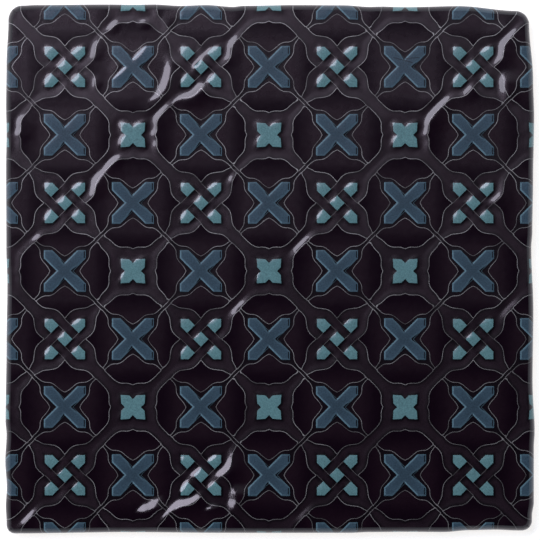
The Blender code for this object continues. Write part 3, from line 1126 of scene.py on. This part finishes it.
def paint_face(nodes, at, x, y):
    """Colour of the glazed face, layer by layer, and where its pale lines lie."""
    cracks = np.maximum(*(hairline_on(nodes, x, y, *ends) for ends in HAIRLINES))
    # Painted light: the pale lines fall off from the upper left, the lamp's side, towards the lower right.
    fade = x * (THREAD_LIGHT_FALLOFF[1] / HALF) + y * (THREAD_LIGHT_FALLOFF[2] / HALF) + THREAD_LIGHT_FALLOFF[0]
    colour = paint_petals(nodes, at, paint_straps(nodes, at))
    colour = paint_teal(nodes, at, paint_large_x(nodes, at, colour, cracks))
    thread = find_threads(nodes, at)
    colour = paint_threads(nodes, at, colour, thread, fade)
    speckled = {"Color": colour, "Value": nodes.noise(0.5, 2, 5.9) + 0.5}
    return nodes.call("ShaderNodeHueSaturation", speckled), thread


def make_tile_material():
    """Gloss glaze on the face and down the sides to a ragged edge, and bare clay below it."""
    nodes = Nodes(bpy.data.materials.new("glaze"))
    x, y, height = nodes.millimetres()
    at = on_pattern(nodes, x, y)
    colour, thread = paint_face(nodes, at, x, y)
    colour = nodes.mix(nodes.step(height, *SIDE_START, 1.0, 0.0), colour, SIDE_COLOUR)
    glazed = nodes.step(height + nodes.noise(5, 4, 2.6) * GLAZE_RAGGED, *GLAZE_FOOT)
    clay = nodes.mix(nodes.noise(3, 5, 5.5), CLAY_COLOUR, CLAY_PALE)
    roughness = body_roughness(nodes, at)
    roughness = nodes.noise(2.2, 3, 8.8) * 0.36 * roughness + roughness * 0.82

    groove = thread_on(nodes, at.teal - 0.2, 0.25, 0.20) * GROOVE_BUMP
    skin = nodes.noise(7, 1, 3.3) * WAVE_BUMP + thread * THREAD_BUMP - groove
    surface = glazed * skin + (1 - glazed) * nodes.noise(0.5, 4, 6.1) * PORE_BUMP
    normal = nodes.call("ShaderNodeBump", {"Distance": MM, "Height": surface})
    for value, name in (
        (nodes.mix(glazed, clay, colour), "Base Color"),
        (glazed * roughness + (1 - glazed) * CLAY_ROUGHNESS, "Roughness"),
        (normal, "Normal"),
        (glazed * COAT, "Coat Weight"),
        (normal, "Coat Normal"),
        (COAT_ROUGHNESS, "Coat Roughness"),
        (UNDER_SHINE, "Specular IOR Level"),
        (UNDER_TINT, "Specular Tint"),
    ):
        nodes.plug(value, nodes.shader.inputs[name])
    return nodes.material


glaze = make_tile_material()
tile_mesh.materials.append(glaze)
print("glaze:", len(glaze.node_tree.nodes), "nodes")
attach(tile, "root")
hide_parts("tile")

# %% [markdown]
# The floor is plain and pale. The photograph's is pure white, without a shadow, so it is a
# light table here, which keeps the tile's own shadow faint.

# %% Floor
FLOOR_SIZE, FLOOR_GAP = 6.0, 0.0002
FLOOR_LOOK = {
    "Base Color": (0.5, 0.5, 0.5, 1), "Emission Color": (1, 1, 1, 1),
    "Emission Strength": 0.75, "Roughness": 0.9,
}
floor_mesh = bpy.data.meshes.new("floor")
floor_corners = ((-1, -1), (1, -1), (1, 1), (-1, 1))
floor_points = [(x * FLOOR_SIZE / 2, y * FLOOR_SIZE / 2, -FLOOR_GAP) for x, y in floor_corners]
floor_mesh.from_pydata(floor_points, [], [(0, 1, 2, 3)])
floor = bpy.data.objects.new("floor", floor_mesh)
bpy.context.scene.collection.objects.link(floor)
floor_material = bpy.data.materials.new("floor")
floor_material.use_nodes = True
for name, value in FLOOR_LOOK.items():
    floor_material.node_tree.nodes["Principled BSDF"].inputs[name].default_value = value
floor_mesh.materials.append(floor_material)

# %% [markdown]
# Light. Dark gloss glaze shows what it mirrors, so the place and size of the lamp matter
# more than its power. A flat part of the face mirrors what is straight above, which is kept
# dark. One soft box to the upper left is mirrored only by walls that tilt about 8 to 19
# degrees towards it: the box's near and far edge are at twice those angles from straight up.

# %% The soft box
BOX_HEIGHT, BOX_OUT, BOX_TURN = 1.10, 0.572, 137.0
BOX_SIZE, BOX_POWER, BOX_COLOUR = (1.35, 0.50), 18.0, (0.86, 0.86, 1.0)
turn = np.radians(BOX_TURN)
lamp = bpy.data.lights.new("soft_box", "AREA")
lamp.shape = "RECTANGLE"
lamp.size, lamp.size_y = BOX_SIZE
lamp.energy, lamp.color = BOX_POWER, BOX_COLOUR
box = bpy.data.objects.new("soft_box", lamp)
box.location = (BOX_OUT * np.cos(turn), BOX_OUT * np.sin(turn), BOX_HEIGHT)
box.rotation_euler = (-box.location).to_track_quat("-Z", "Y").to_euler()
bpy.context.scene.collection.objects.link(box)
print("soft box", round(np.degrees(np.arctan2(BOX_OUT, BOX_HEIGHT)), 1), "degrees from straight up")

# %% [markdown]
# The rest of the room is the world's light. It is bright near the horizon, where the steep
# rim mirrors it, and almost black overhead. A soft glow beyond the tile's top side veils the
# flat parts with a little grey.

# %% The room
LOW_LIGHT, ZENITH_LIGHT, LOW_SPAN = 1.0, 0.015, (0.15, 0.62)
GLOW, GLOW_TURN, GLOW_SPAN = 0.25, 100.0, (-0.03, 0.35)
ROOM_COLOUR = (0.82, 0.92, 1, 1)


def make_world():
    """A world that is bright near the horizon, dark overhead, and glows softly on one side."""
    world = bpy.data.worlds.new("studio")
    world.use_nodes = True
    tree = world.node_tree
    coordinate = tree.nodes.new("ShaderNodeTexCoord").outputs["Generated"]
    glow_turn = np.radians(GLOW_TURN)

    def rise_along(direction, low, high, out_low, out_high):
        towards = tree.nodes.new("ShaderNodeVectorMath")
        towards.operation = "DOT_PRODUCT"
        towards.inputs[1].default_value = direction
        rise = tree.nodes.new("ShaderNodeMapRange")
        rise.interpolation_type = "SMOOTHSTEP"
        for number, value in enumerate((low, high, out_low, out_high)):
            rise.inputs[number + 1].default_value = value
        tree.links.new(coordinate, towards.inputs[0])
        tree.links.new(towards.outputs["Value"], rise.inputs[0])
        return rise.outputs[0]

    total = tree.nodes.new("ShaderNodeMath")
    tree.links.new(rise_along((0, 0, 1), *LOW_SPAN, LOW_LIGHT, ZENITH_LIGHT), total.inputs[0])
    side = (float(np.cos(glow_turn)), float(np.sin(glow_turn)), 0)
    tree.links.new(rise_along(side, *GLOW_SPAN, 0.0, GLOW), total.inputs[1])
    tree.links.new(total.outputs[0], tree.nodes["Background"].inputs["Strength"])
    tree.nodes["Background"].inputs["Color"].default_value = ROOM_COLOUR
    return world


bpy.context.scene.world = make_world()
bpy.context.scene.view_settings.view_transform = "Standard"

# %% [markdown]
# The camera looks straight down on the tile, as in the photograph, with the tile's top side
# up. The photograph shows no perspective, so the lens is very long and the camera far away.
# It is 540 pixels wide, and one of its pixels is 0.38 mm.

# %% Camera
LENS, SENSOR = 600.0, 36.0
FRAME_PIXELS = 540
frame_width = FRAME_PIXELS * PIXEL * MM
camera = bpy.data.cameras.new("camera")
camera.lens, camera.sensor_width = LENS, SENSOR
camera.clip_start, camera.clip_end = 0.05, 20
camera_object = bpy.data.objects.new("camera", camera)
bpy.context.scene.collection.objects.link(camera_object)
look_x, look_y = from_photo((FRAME_PIXELS - 1) / 2, (FRAME_PIXELS - 1) / 2)
distance = frame_width * LENS / SENSOR
camera_object.location = (look_x * MM, look_y * MM, THICKNESS * MM + distance)
bpy.context.scene.camera = camera_object
print("camera", round(distance, 3), "m above the face")
